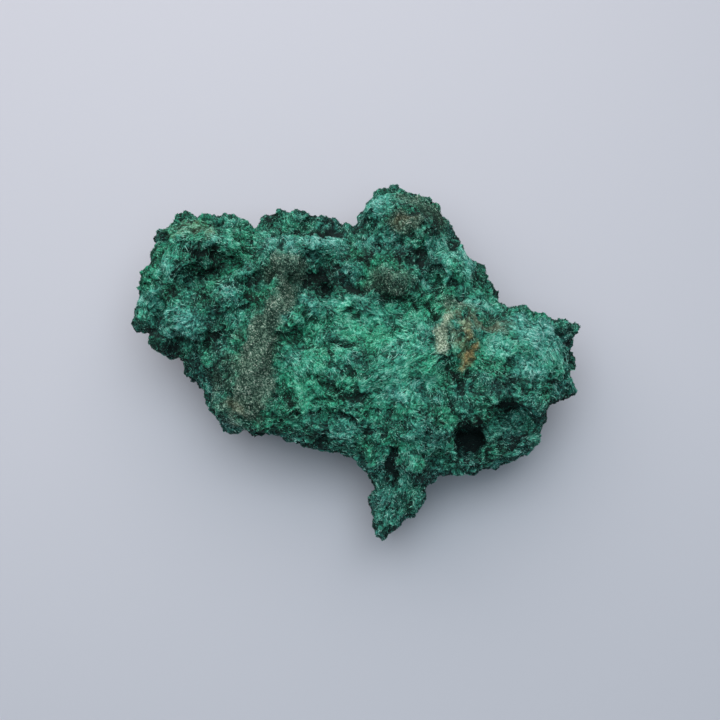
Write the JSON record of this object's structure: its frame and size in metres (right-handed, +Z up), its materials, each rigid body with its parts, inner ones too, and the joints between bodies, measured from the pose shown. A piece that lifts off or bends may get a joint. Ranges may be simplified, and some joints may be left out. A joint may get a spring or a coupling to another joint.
{
  "type": "mineral specimen",
  "caption": "Loose palm-sized lump of fibrous malachite with swollen lobes, a smooth grey band, hollows, a cavity and a narrow prong, resting on worn flats.",
  "frame": {"origin": "under the middle of the bounding box, on the plane of the worn flats that the lump rests on", "axes": "+Z up, +X along the long side towards the lobe beside the open cavity, +Y away from the narrow prong"},
  "size_m": [0.09, 0.0724, 0.0353],
  "materials": {
    "malachite": "silky matted green fibres, dull, with a grey-olive crust band and small ochre stains"
  },
  "bodies": {
    "root": {"malachite": "malachite"}
  },
  "joints": []
}
